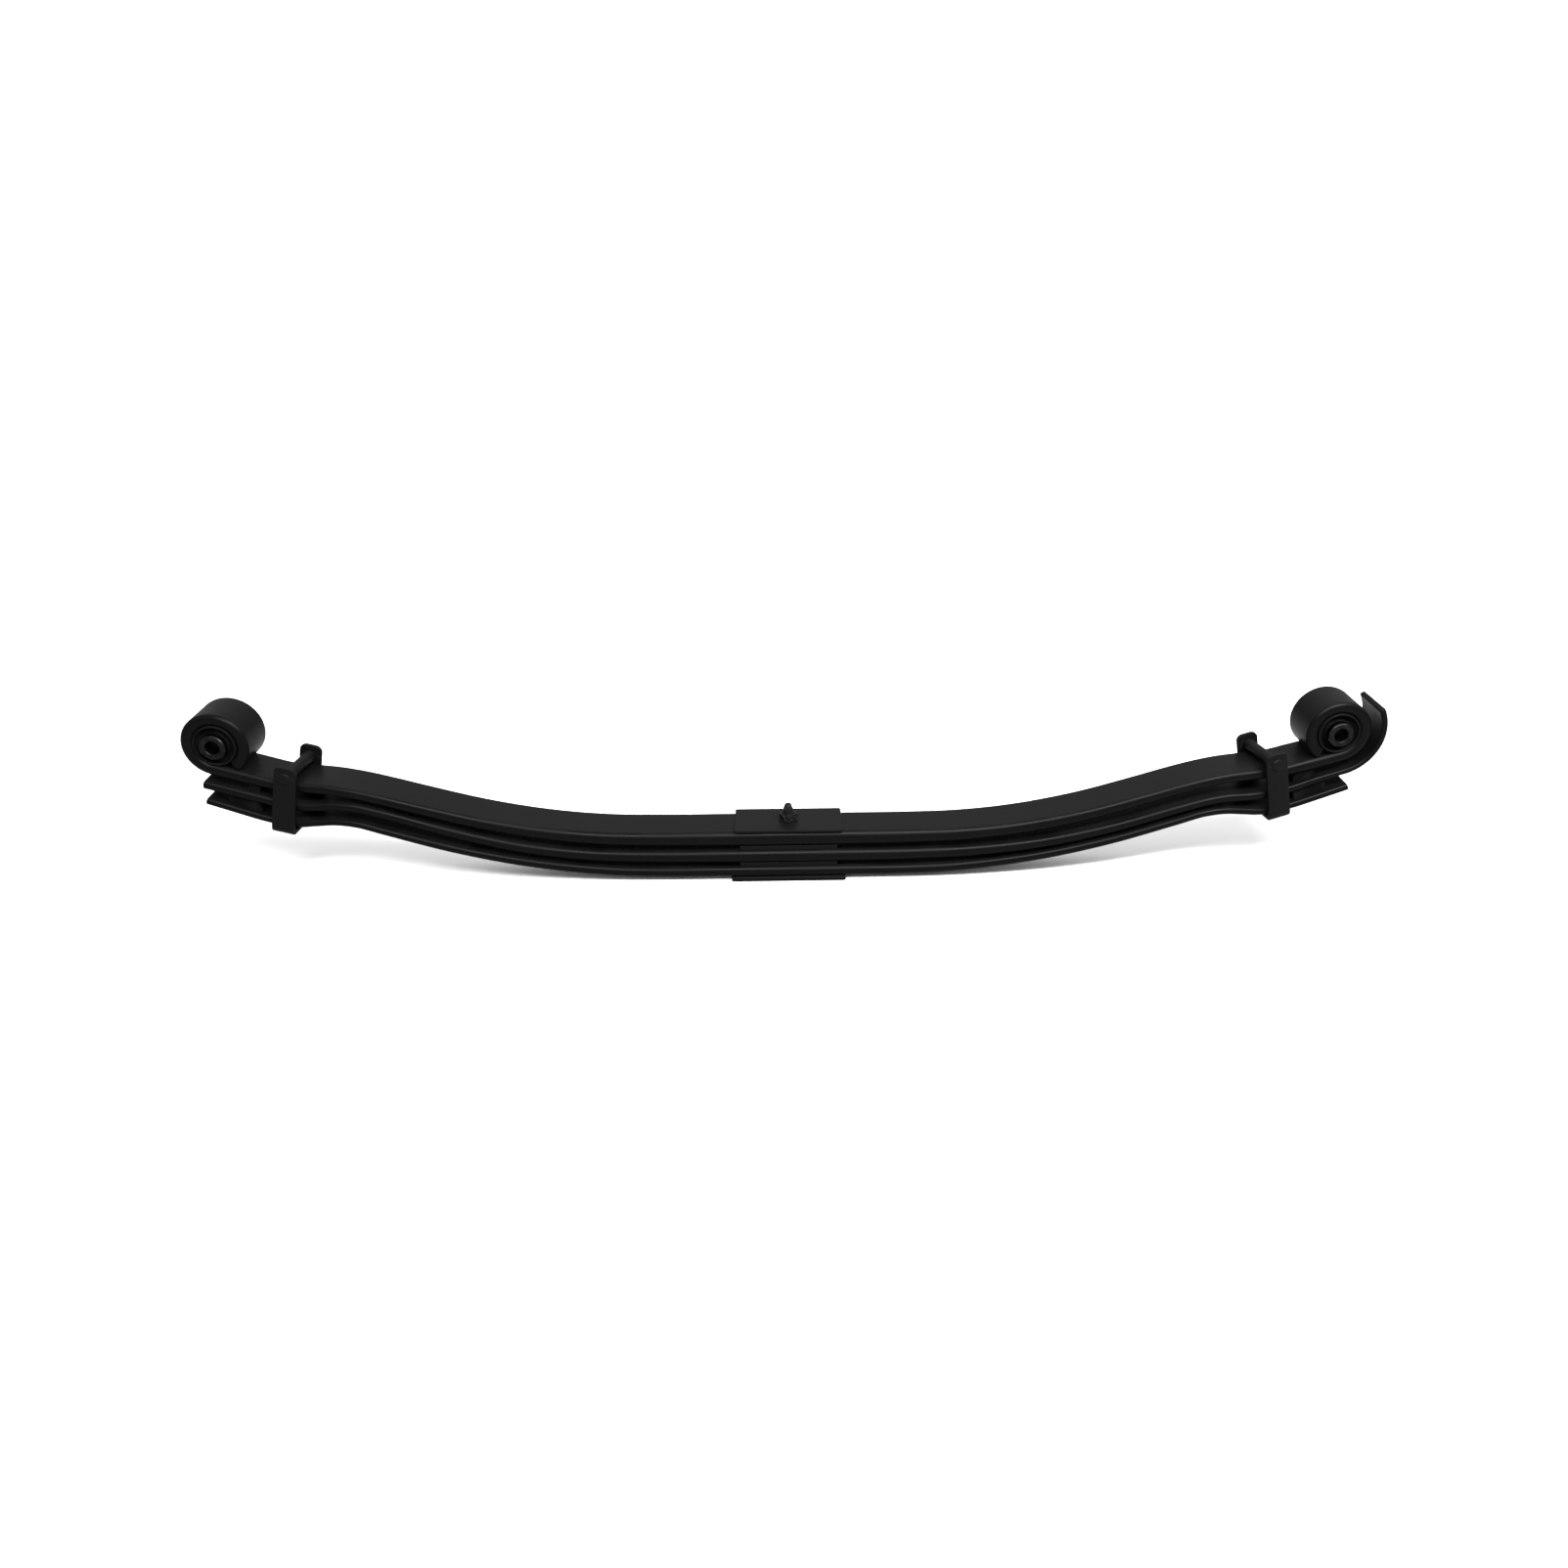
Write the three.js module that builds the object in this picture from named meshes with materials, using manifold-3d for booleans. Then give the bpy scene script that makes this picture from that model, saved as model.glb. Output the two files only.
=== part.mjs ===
// Three-leaf parabolic leaf spring for the front axle of a medium truck, in millimetres, +Z up.
// +X runs along the spring towards the wrapped eye and Y runs across its width.
// The origin is on the centre bolt's axis, level with the underside of the bottom pad.

import * as THREE from 'three';
import { mergeVertices } from 'three/addons/utils/BufferGeometryUtils.js';
import Module from 'manifold-3d';

const wasm = await Module();
wasm.setup();

// ---------------------------------------------------------------- driving dimensions

const GAP = 0.3; // clearance left between pieces that touch
const LEAF_WIDTH = 76;
const ARM = { left: 827, right: 815 }; // centre bolt to eye axis
const EYE_HEIGHT = 236; // eye axis above the underside of the bottom pad
const EYE_BORE_R = 31;
const EYE_OUTER_R = 48.2;
const EYE_SLOPE = Math.atan(0.31); // angle at which the leaves reach the eyes
const EYE_ROLL_END = THREE.MathUtils.degToRad(326); // where the rolled end stops, round from straight down
const WRAP_INNER_R = 61.2; // military wrapper round the right eye
const WRAP_THICKNESS = 8.5;
const WRAP_END = THREE.MathUtils.degToRad(123);
const WRAP_OPENING = 2.4; // how far the wrapper's end stands off its round

const ROOT_THICKNESS = [24, 20, 16]; // of the leaves at the centre clamp, from the main leaf down
const END_SHARE = 0.65; // thickness near the ends as a share of that
const ROOT_REACH = 731; // how far in from the eye axis the leaves become flat
const TAPER_OFFSET = 165; // shifts the vertex of the parabolic taper beyond the eye
const STEP = 15; // spacing of the leaf outline's points
const ROLL_STEP = 10; // degrees between the points round the eyes
const EYE_BLEND = [15, 95]; // reaches between which the main leaf thickens into its eye
const WRAP_BLEND = [0, 110]; // and leaf 2 thins into its wrapper
const ARM_END = { main: 12, second: -27, wrapped: -6, third: -28 }; // reach at which each arm ends

const CENTRE_TOPS = [83.5, 51.5, 23.5]; // tops of the leaves at the clamp
const TOP_PAD = { length: 164, thickness: 4.4 };
const BOTTOM_PAD = { length: 176, thickness: 7.2 };
const PAD_WIDTH = 76;
const PAD_RECESS = { r: 15.8, depth: 0.6 }; // spot face in the top pad, under the washer
const CENTRE_SPACER = { length: 150, width: 66 };

const BOLT_R = 7.5;
const BOLT_HOLE_R = 8;
const BOLT_TOP = 115;
const BOLT_POINT = { length: 7.5, r: 4.6 }; // tapered end of the bolt
const BOLT_HEAD_R = 12;
const HEAD_POCKET_R = 12.6;
const CENTRE_WASHER = { r: 15, thickness: 2.6 };
const CENTRE_NUT = { flats: 24, height: 8 };

const CLIP = {
  reach: { left: 97, right: 94 }, // in from the eye axis, measured on top of the main leaf
  tilt: THREE.MathUtils.degToRad(12.5),
  skew: { left: THREE.MathUtils.degToRad(5), right: THREE.MathUtils.degToRad(9) }, // turned in plan
  width: 33,
  thickness: 6,
  inside: LEAF_WIDTH + 7,
  depth: 76, // from the top of the main leaf down to the inside of the strap
  rise: 27, // of the legs above the top of the main leaf
  bend: 9, // outer radius of the two bends
  corner: 9, // radius of the corners at the top of each leg
};
const CLIP_TUBE = { outer: 9, inner: 5.4, height: 10.5 };
const CLIP_BOLT = { r: 5, headR: 9, headHeight: 3.6 };
const CLIP_NUT = { flats: 17, height: 8 };
const CLIP_RIVET = { r: 4, headR: 7.5, headHeight: 3 };

const BUSH = {
  shellOuter: EYE_BORE_R - GAP,
  shellInner: 28,
  shellLength: LEAF_WIDTH - 2,
  rubberLength: LEAF_WIDTH - 8,
  rubberDish: 3, // how far the middle of the rubber's end face lies in
  sleeveOuter: 18.5,
  sleeveInner: 10.25,
  sleeveLength: LEAF_WIDTH + 12,
  chamfer: 1.5,
};

const LINER_WIDTH = 60;
const LINER_REACH = { upper: [22, 62], lower: [-4, 58] }; // ends of the liners, in from the eye axis

// Tops of the leaves along an arm: [distance in from the eye axis, height above the bottom pad's underside].
const MAIN_TOP = {
  left: [
    [631, 83.5], [551, 85.6], [471, 93.5], [371, 112], [271, 139], [221, 153.5],
    [181, 163.9], [151, 169.9], [121, 173.7], [76, 180], [51, 187.7],
  ],
  right: [
    [631, 83.5], [551, 85.6], [471, 93.5], [371, 112.5], [271, 140.7], [221, 155.8],
    [181, 166.3], [151, 172.2], [121, 176], [76, 182], [51, 189],
  ],
};
const SECOND_TOP = {
  left: [
    [631, 51.8], [521, 56.3], [421, 70.5], [321, 96.5], [221, 128.5], [181, 139.2],
    [151, 142], [121, 141.5], [91, 144.5], [51, 156.5], [-27, 181],
  ],
  right: [
    [631, 51.8], [521, 56], [421, 67.8], [321, 90], [221, 120.5], [181, 132],
    [151, 137.5], [121, 139.3], [91, 143], [59, 150.8], [21, 164.8],
  ],
};
const THIRD_TOP = [
  [631, 23.6], [571, 25.6], [521, 30], [421, 44.5], [321, 67.6], [221, 98.4], [181, 111],
  [151, 115], [121, 114], [101, 113], [76, 116.5], [51, 123.5], [21, 134.5], [-26, 152.5],
];

// ---------------------------------------------------------------- materials

const finish = (color, roughness, metalness) => () =>
  new THREE.MeshStandardMaterial({ color, roughness, metalness });
const blackPaint = finish(0x1c1d1f, 0.45, 0.3);
const bareSteel = finish(0x5b5c5e, 0.4, 0.9);
const rubber = finish(0x121212, 0.85, 0);
const linerPlastic = finish(0x17181a, 0.7, 0);

// ---------------------------------------------------------------- solids

function toSolid(geometry) {
  const bare = geometry.clone();
  bare.deleteAttribute('normal');
  bare.deleteAttribute('uv');
  const merged = mergeVertices(bare, 1e-4);
  return new wasm.Manifold(new wasm.Mesh({
    numProp: 3,
    vertProperties: new Float32Array(merged.attributes.position.array),
    triVerts: new Uint32Array(merged.index.array),
  }));
}

function toGeometry(solid) {
  const mesh = solid.getMesh();
  const geometry = new THREE.BufferGeometry();
  geometry.setAttribute('position', new THREE.BufferAttribute(mesh.vertProperties, 3));
  geometry.setIndex(new THREE.BufferAttribute(mesh.triVerts, 1));
  return geometry;
}

function cut(geometry, ...tools) {
  return toGeometry(tools.reduce((solid, tool) => solid.subtract(toSolid(tool)), toSolid(geometry)));
}

// A side view outline, [x, z] points, made into a solid across the spring.
function acrossWidth(points, width) {
  const shape = new THREE.Shape(points.map(([x, z]) => new THREE.Vector2(x, z)));
  const geometry = new THREE.ExtrudeGeometry(shape, { depth: width, bevelEnabled: false });
  return geometry.rotateX(Math.PI / 2).translate(0, width / 2, 0);
}

// A turned piece about Z, or about Y with alongY: the profile is [radius, height] points.
function turned(profile, segments, alongY = false) {
  const points = profile.map(([r, h]) => new THREE.Vector2(r, h));
  const geometry = new THREE.LatheGeometry(points, segments);
  return alongY ? geometry : geometry.rotateX(Math.PI / 2);
}

function tube(outer, inner, from, to, segments, alongY, chamfer = 0) {
  const profile = [
    [inner, from], [outer - chamfer, from], [outer, from + chamfer],
    [outer, to - chamfer], [outer - chamfer, to], [inner, to], [inner, from],
  ];
  const corners = chamfer > 0 ? profile : [profile[0], profile[2], profile[3], profile[5], profile[6]];
  return turned(corners, segments, alongY);
}

function rod(r, from, to, segments, alongY) {
  return turned([[0, from], [r, from], [r, to], [0, to]], segments, alongY);
}

function hexNut(flats, boreR, height) {
  const corner = flats / Math.sqrt(3);
  const angles = [0, 1, 2, 3, 4, 5].map((i) => (i * Math.PI) / 3);
  const shape = new THREE.Shape(
    angles.map((angle) => new THREE.Vector2(corner * Math.cos(angle), corner * Math.sin(angle))),
  );
  shape.holes = [new THREE.Path().absarc(0, 0, boreR, 0, Math.PI * 2, true)];
  return new THREE.ExtrudeGeometry(shape, { depth: height, bevelEnabled: false, curveSegments: 20 });
}

// ---------------------------------------------------------------- leaf curves

// A smooth curve z(u) through stations [u, z], listed with u falling.
function smoothCurve(stations) {
  const chord = (i) => (stations[i + 1][1] - stations[i][1]) / (stations[i + 1][0] - stations[i][0]);
  const last = stations.length - 1;
  const slopes = stations.map((_, i) => {
    if (i === 0) return chord(0);
    if (i === last) return chord(last - 1);
    const before = stations[i - 1][0] - stations[i][0];
    const after = stations[i][0] - stations[i + 1][0];
    return (chord(i - 1) * after + chord(i) * before) / (before + after);
  });
  return (u) => {
    const i = Math.max(0, stations.findLastIndex(([at]) => at >= u));
    const k = Math.min(i, last - 1);
    const [u0, z0] = stations[k];
    const [u1, z1] = stations[k + 1];
    const h = u1 - u0;
    const s = (u - u0) / h;
    return z0 * (1 + 2 * s) * (1 - s) ** 2 + slopes[k] * h * s * (1 - s) ** 2
      + z1 * s * s * (3 - 2 * s) + slopes[k + 1] * h * s * s * (s - 1);
  };
}

// Thickness of a leaf at reach u: a parabola from the clamp out to where its even end starts.
const taper = (leaf) => (u) => {
  const reach = Math.min(Math.max(u, 0), ROOT_REACH);
  const parabola = Math.sqrt((reach + TAPER_OFFSET) / (ROOT_REACH + TAPER_OFFSET));
  return ROOT_THICKNESS[leaf] * Math.max(END_SHARE, parabola);
};

// Ribs of one arm from the clamp to the tip, in arm coordinates: u points in from the eye axis.
// A rib is { top, bottom }, the two points of the leaf's outline that face each other.
function armRibs(centreTop, stations, endU, thicknessAt) {
  const height = smoothCurve([[ROOT_REACH, centreTop], ...stations]);
  const ribs = [];
  const count = Math.round((ROOT_REACH - endU) / STEP);
  for (let i = 0; i <= count; i += 1) {
    const u = ROOT_REACH + ((endU - ROOT_REACH) * i) / count;
    const slope = (height(u + 1) - height(u - 1)) / 2;
    const length = Math.hypot(1, slope);
    const normal = i === 0 ? [0, -1] : [slope / length, -1 / length];
    const z = i === 0 ? centreTop : height(u);
    const t = thicknessAt(u);
    ribs.push({ top: [u, z], bottom: [u + normal[0] * t, z + normal[1] * t] });
  }
  return ribs;
}

// Ribs round the eye axis from the tangent point to the end angle, counted outwards from straight down.
// The radii grow by the opening on the way.
function rollRibs(inner, outer, endAngle, opening = 0) {
  const sweep = endAngle - EYE_SLOPE;
  const count = Math.round(THREE.MathUtils.radToDeg(sweep) / ROLL_STEP);
  const ribs = [];
  for (let i = 0; i <= count; i += 1) {
    const angle = EYE_SLOPE + (sweep * i) / count;
    const grown = opening * (i / count) ** 2;
    const at = (r) => [-r * Math.sin(angle), EYE_HEIGHT - r * Math.cos(angle)];
    ribs.push({ top: at(inner + grown), bottom: at(outer + grown) });
  }
  return ribs;
}

// The station at reach u on the line that meets a roll of radius r squarely at EYE_SLOPE.
const onTangent = (r, u) => [u, EYE_HEIGHT - r / Math.cos(EYE_SLOPE) - u * Math.tan(EYE_SLOPE)];

// A thickness that changes smoothly from the first value to the second between two reaches.
const blend = (u, [from, to], first, second) =>
  THREE.MathUtils.lerp(first, second, THREE.MathUtils.smoothstep(u, from, to));

const mainArm = (side) => armRibs(
  CENTRE_TOPS[0],
  [...MAIN_TOP[side], onTangent(EYE_BORE_R, 10)],
  ARM_END.main,
  (u) => blend(u, EYE_BLEND, EYE_OUTER_R - EYE_BORE_R, taper(0)(u)),
);
const eyeRoll = rollRibs(EYE_BORE_R, EYE_OUTER_R, EYE_ROLL_END);
const secondArm = {
  left: armRibs(CENTRE_TOPS[1], SECOND_TOP.left, ARM_END.second, taper(1)),
  right: armRibs(
    CENTRE_TOPS[1],
    [...SECOND_TOP.right, onTangent(WRAP_INNER_R, -8)],
    ARM_END.wrapped,
    (u) => blend(u, WRAP_BLEND, WRAP_THICKNESS, taper(1)(u)),
  ),
};
const wrapRoll = rollRibs(WRAP_INNER_R, WRAP_INNER_R + WRAP_THICKNESS, WRAP_END, WRAP_OPENING);
const thirdArm = armRibs(CENTRE_TOPS[2], THIRD_TOP, ARM_END.third, taper(2));

const toX = { left: (u) => u - ARM.left, right: (u) => ARM.right - u };
const place = (side, [u, z]) => [toX[side](u), z];

function leafGeometry(leftRibs, rightRibs) {
  const left = [...leftRibs].reverse();
  const tops = [
    ...left.map((rib) => place('left', rib.top)),
    ...rightRibs.map((rib) => place('right', rib.top)),
  ];
  const bottoms = [
    ...left.map((rib) => place('left', rib.bottom)),
    ...rightRibs.map((rib) => place('right', rib.bottom)),
  ];
  const hole = rod(BOLT_HOLE_R, -10, BOLT_TOP, 20);
  return cut(acrossWidth([...bottoms, ...tops.reverse()], LEAF_WIDTH), hole);
}

// A liner that fills the space between two leaves from one reach to another.
function linerGeometry(side, upperRibs, lowerRibs, [from, to]) {
  const within = ([u]) => u >= from && u <= to;
  const above = upperRibs.map((rib) => rib.bottom).filter(within);
  const below = lowerRibs.map((rib) => rib.top).filter(within);
  const outline = [
    ...above.map(([u, z]) => place(side, [u, z - GAP])),
    ...below.reverse().map(([u, z]) => place(side, [u, z + GAP])),
  ];
  return acrossWidth(outline, LINER_WIDTH);
}

// ---------------------------------------------------------------- assembly

const spring = new THREE.Group();

function add(name, geometry, material, parent = spring) {
  const mesh = new THREE.Mesh(geometry, material());
  mesh.name = name;
  parent.add(mesh);
  return mesh;
}

function plate(length, width, bottom, top, holeR) {
  const outline = [
    [-length / 2, bottom], [length / 2, bottom], [length / 2, top], [-length / 2, top],
  ];
  return cut(acrossWidth(outline, width), rod(holeR, bottom - 5, top + 5, 28));
}

function addLeaves() {
  const mainHalf = (side) => [...mainArm(side), ...eyeRoll];
  add('leaf_1_main', leafGeometry(mainHalf('left'), mainHalf('right')), blackPaint);
  add('leaf_2_wrapper', leafGeometry(secondArm.left, [...secondArm.right, ...wrapRoll]), blackPaint);
  add('leaf_3', leafGeometry(thirdArm, thirdArm), blackPaint);
}

function addCentreClamp() {
  const padTop = CENTRE_TOPS[0] + GAP + TOP_PAD.thickness;
  const recessFloor = padTop - PAD_RECESS.depth;
  const topPad = plate(TOP_PAD.length, PAD_WIDTH, CENTRE_TOPS[0] + GAP, padTop, BOLT_HOLE_R);
  add('top_pad', cut(topPad, rod(PAD_RECESS.r, recessFloor, padTop + 5, 28)), blackPaint);
  add('bottom_pad', plate(BOTTOM_PAD.length, PAD_WIDTH, 0, BOTTOM_PAD.thickness, HEAD_POCKET_R), blackPaint);
  ['centre_spacer_upper', 'centre_spacer_lower'].forEach((name, i) => {
    const top = CENTRE_TOPS[i] - ROOT_THICKNESS[i] - GAP;
    const bottom = CENTRE_TOPS[i + 1] + GAP;
    add(name, plate(CENTRE_SPACER.length, CENTRE_SPACER.width, bottom, top, BOLT_HOLE_R), blackPaint);
  });

  const headTop = CENTRE_TOPS[2] - ROOT_THICKNESS[2] - GAP;
  const bolt = [
    [0, 0], [BOLT_HEAD_R, 0], [BOLT_HEAD_R, headTop], [BOLT_R, headTop],
    [BOLT_R, BOLT_TOP - BOLT_POINT.length], [BOLT_POINT.r, BOLT_TOP], [0, BOLT_TOP],
  ];
  add('centre_bolt', turned(bolt, 28), blackPaint);

  const washerBottom = recessFloor + GAP;
  const washerTop = washerBottom + CENTRE_WASHER.thickness;
  add('centre_washer', tube(CENTRE_WASHER.r, BOLT_HOLE_R, washerBottom, washerTop, 28), blackPaint);
  const nut = add('centre_nut', hexNut(CENTRE_NUT.flats, BOLT_R + GAP, CENTRE_NUT.height), blackPaint);
  nut.position.z = washerTop + GAP;
}

// The clip's own frame has its origin on top of the main leaf, x along the leaf and z square to it.
function strapGeometry() {
  const { width, thickness, inside, depth, rise, bend, corner } = CLIP;
  const half = inside / 2 + thickness;
  const base = -depth - thickness;
  const inner = bend - thickness;
  const bar = new THREE.Shape();
  bar.moveTo(-half, rise);
  bar.lineTo(-half, base + bend);
  bar.absarc(-half + bend, base + bend, bend, Math.PI, Math.PI * 1.5, false);
  bar.lineTo(half - bend, base);
  bar.absarc(half - bend, base + bend, bend, Math.PI * 1.5, Math.PI * 2, false);
  bar.lineTo(half, rise);
  bar.lineTo(half - thickness, rise);
  bar.lineTo(half - thickness, base + bend);
  bar.absarc(half - bend, base + bend, inner, 0, -Math.PI / 2, true);
  bar.lineTo(-half + bend, base + thickness);
  bar.absarc(-half + bend, base + bend, inner, -Math.PI / 2, -Math.PI, true);
  bar.lineTo(-half + thickness, rise);
  const bent = new THREE.ExtrudeGeometry(bar, { depth: width, bevelEnabled: false, curveSegments: 5 });
  bent.rotateX(Math.PI / 2).rotateZ(Math.PI / 2).translate(-width / 2, 0, 0);

  const edge = new THREE.Shape();
  edge.moveTo(-width / 2 - 1, base - 1);
  edge.lineTo(width / 2 + 1, base - 1);
  edge.lineTo(width / 2, base + bend);
  edge.lineTo(width / 2, rise - corner);
  edge.absarc(width / 2 - corner, rise - corner, corner, 0, Math.PI / 2, false);
  edge.absarc(-width / 2 + corner, rise - corner, corner, Math.PI / 2, Math.PI, false);
  edge.lineTo(-width / 2, base + bend);
  const across = 2 * half + 10;
  const trim = new THREE.ExtrudeGeometry(edge, { depth: across, bevelEnabled: false, curveSegments: 5 });
  trim.rotateX(Math.PI / 2).translate(0, across / 2, 0);

  const boltHole = rod(CLIP_BOLT.r + GAP, -half - 5, half + 5, 20, true).translate(0, 0, CLIP_TUBE.height);
  const rivetHole = rod(CLIP_RIVET.r + GAP, base - 5, base + thickness + 5, 20);
  return toGeometry(toSolid(bent).intersect(toSolid(trim))
    .subtract(toSolid(boltHole)).subtract(toSolid(rivetHole)));
}

function addClip(side) {
  const sign = side === 'left' ? -1 : 1;
  const clip = new THREE.Group();
  const reach = CLIP.reach[side];
  clip.position.set(sign * (ARM[side] - reach), 0, smoothCurve(MAIN_TOP[side])(reach));
  clip.rotation.set(0, -sign * CLIP.tilt, sign * CLIP.skew[side], 'YZX');
  spring.add(clip);

  const halfInside = CLIP.inside / 2;
  const halfOutside = halfInside + CLIP.thickness;
  add(`${side}_clip_strap`, strapGeometry(), blackPaint, clip);

  const tubeEnd = halfInside - GAP;
  const spacer = tube(CLIP_TUBE.outer, CLIP_TUBE.inner, -tubeEnd, tubeEnd, 24, true);
  add(`${side}_clip_spacer_tube`, spacer, blackPaint, clip).position.z = CLIP_TUBE.height;

  const face = -halfOutside - GAP;
  const nutBase = halfOutside + GAP;
  const { r, headR, headHeight } = CLIP_BOLT;
  const bolt = [
    [0, face - headHeight], [headR * 0.45, face - headHeight * 0.88],
    [headR * 0.8, face - headHeight * 0.55],
    [headR, face], [r, face], [r, nutBase + CLIP_NUT.height + 2], [0, nutBase + CLIP_NUT.height + 2],
  ];
  add(`${side}_clip_bolt`, turned(bolt, 24, true), blackPaint, clip).position.z = CLIP_TUBE.height;

  const nut = hexNut(CLIP_NUT.flats, r + GAP, CLIP_NUT.height).rotateX(-Math.PI / 2);
  add(`${side}_clip_nut`, nut, blackPaint, clip).position.set(0, nutBase, CLIP_TUBE.height);

  const under = -CLIP.depth - CLIP.thickness - GAP;
  const rivet = [
    [0, under - CLIP_RIVET.headHeight], [CLIP_RIVET.headR * 0.7, under - CLIP_RIVET.headHeight * 0.7],
    [CLIP_RIVET.headR, under], [CLIP_RIVET.r, under], [CLIP_RIVET.r, -CLIP.depth], [0, -CLIP.depth],
  ];
  add(`${side}_clip_rivet`, turned(rivet, 20), blackPaint, clip);
}

function addBush(side) {
  const bush = new THREE.Group();
  bush.position.set(toX[side](0), 0, EYE_HEIGHT);
  spring.add(bush);

  const shellEnd = BUSH.shellLength / 2;
  const shell = tube(BUSH.shellOuter, BUSH.shellInner, -shellEnd, shellEnd, 40, true, BUSH.chamfer);
  add(`${side}_bush_shell`, shell, blackPaint, bush);

  const outer = BUSH.shellInner - GAP;
  const inner = BUSH.sleeveOuter + GAP;
  const end = BUSH.rubberLength / 2;
  const dished = [0.25, 0.5, 0.75].map((s) => [
    THREE.MathUtils.lerp(outer, inner, s), end - BUSH.rubberDish * Math.sin(Math.PI * s),
  ]);
  const profile = [
    [inner, -end], ...dished.map(([r, y]) => [r, -y]).reverse(), [outer, -end],
    [outer, end], ...dished, [inner, end], [inner, -end],
  ];
  add(`${side}_bush_rubber`, turned(profile, 40, true), rubber, bush);

  const sleeveEnd = BUSH.sleeveLength / 2;
  const sleeve = tube(BUSH.sleeveOuter, BUSH.sleeveInner, -sleeveEnd, sleeveEnd, 36, true, BUSH.chamfer);
  add(`${side}_inner_sleeve`, sleeve, bareSteel, bush);
}

function addLiners(side) {
  const upper = linerGeometry(side, mainArm(side), secondArm[side], LINER_REACH.upper);
  add(`${side}_liner_upper`, upper, linerPlastic);
  const lower = linerGeometry(side, secondArm[side], thirdArm, LINER_REACH.lower);
  add(`${side}_liner_lower`, lower, linerPlastic);
}

addLeaves();
addCentreClamp();
for (const side of ['left', 'right']) {
  addClip(side);
  addBush(side);
  addLiners(side);
}

export default spring;
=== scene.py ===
"""The looks of a three-leaf parabolic leaf spring: leaves, bushed eyes, rebound clips and centre clamp.

Lengths in the tables are millimetres. Meshes are metres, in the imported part's own frame.
"""

import math

import bmesh
import bpy
import numpy as np
from mathutils import Matrix, Vector


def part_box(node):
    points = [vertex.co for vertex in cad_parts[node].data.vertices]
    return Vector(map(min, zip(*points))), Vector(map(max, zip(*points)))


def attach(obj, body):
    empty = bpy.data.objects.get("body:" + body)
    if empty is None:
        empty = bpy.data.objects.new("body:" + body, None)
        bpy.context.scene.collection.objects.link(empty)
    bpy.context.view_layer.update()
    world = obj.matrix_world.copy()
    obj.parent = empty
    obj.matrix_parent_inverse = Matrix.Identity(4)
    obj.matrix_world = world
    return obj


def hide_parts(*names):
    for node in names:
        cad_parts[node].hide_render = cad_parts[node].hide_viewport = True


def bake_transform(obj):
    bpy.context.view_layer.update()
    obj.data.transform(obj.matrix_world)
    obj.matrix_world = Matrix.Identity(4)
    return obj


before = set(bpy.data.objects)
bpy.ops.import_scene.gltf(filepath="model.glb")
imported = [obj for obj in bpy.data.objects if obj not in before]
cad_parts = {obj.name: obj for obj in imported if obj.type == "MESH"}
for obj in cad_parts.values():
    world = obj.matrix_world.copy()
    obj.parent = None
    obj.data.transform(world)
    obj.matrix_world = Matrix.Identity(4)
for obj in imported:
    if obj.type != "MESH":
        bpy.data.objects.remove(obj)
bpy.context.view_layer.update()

MM = 0.001
SIDES = {"left": -1, "right": 1}

# ---------------------------------------------------------------- sizes shared with the solids

LEAF_WIDTH = 76
ARM = {"left": 827, "right": 815}
EYE_HEIGHT = 236
EYE_BORE_R = 31
EYE_OUTER_R = 48.2
EYE_SLOPE = math.atan(0.31)
EYE_ROLL_END = math.radians(326)
WRAP_INNER_R = 61.2
WRAP_THICKNESS = 8.5
WRAP_END = math.radians(123)
WRAP_OPENING = 2.4
ROOT_THICKNESS = (24, 20, 16)
END_SHARE = 0.65
ROOT_REACH = 731
TAPER_OFFSET = 165
EYE_BLEND = (15, 95)
WRAP_BLEND = (0, 110)
ARM_END = {"main": 12, "second": -27, "wrapped": -6, "third": -28}
CENTRE_TOPS = (83.5, 51.5, 23.5)

MAIN_TOP = {
    "left": [
        (631, 83.5), (551, 85.6), (471, 93.5), (371, 112), (271, 139), (221, 153.5),
        (181, 163.9), (151, 169.9), (121, 173.7), (76, 180), (51, 187.7),
    ],
    "right": [
        (631, 83.5), (551, 85.6), (471, 93.5), (371, 112.5), (271, 140.7), (221, 155.8),
        (181, 166.3), (151, 172.2), (121, 176), (76, 182), (51, 189),
    ],
}
SECOND_TOP = {
    "left": [
        (631, 51.8), (521, 56.3), (421, 70.5), (321, 96.5), (221, 128.5), (181, 139.2),
        (151, 142), (121, 141.5), (91, 144.5), (51, 156.5), (-27, 181),
    ],
    "right": [
        (631, 51.8), (521, 56), (421, 67.8), (321, 90), (221, 120.5), (181, 132),
        (151, 137.5), (121, 139.3), (91, 143), (59, 150.8), (21, 164.8),
    ],
}
THIRD_TOP = [
    (631, 23.6), (571, 25.6), (521, 30), (421, 44.5), (321, 67.6), (221, 98.4), (181, 111),
    (151, 115), (121, 114), (101, 113), (76, 116.5), (51, 123.5), (21, 134.5), (-26, 152.5),
]

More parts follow.
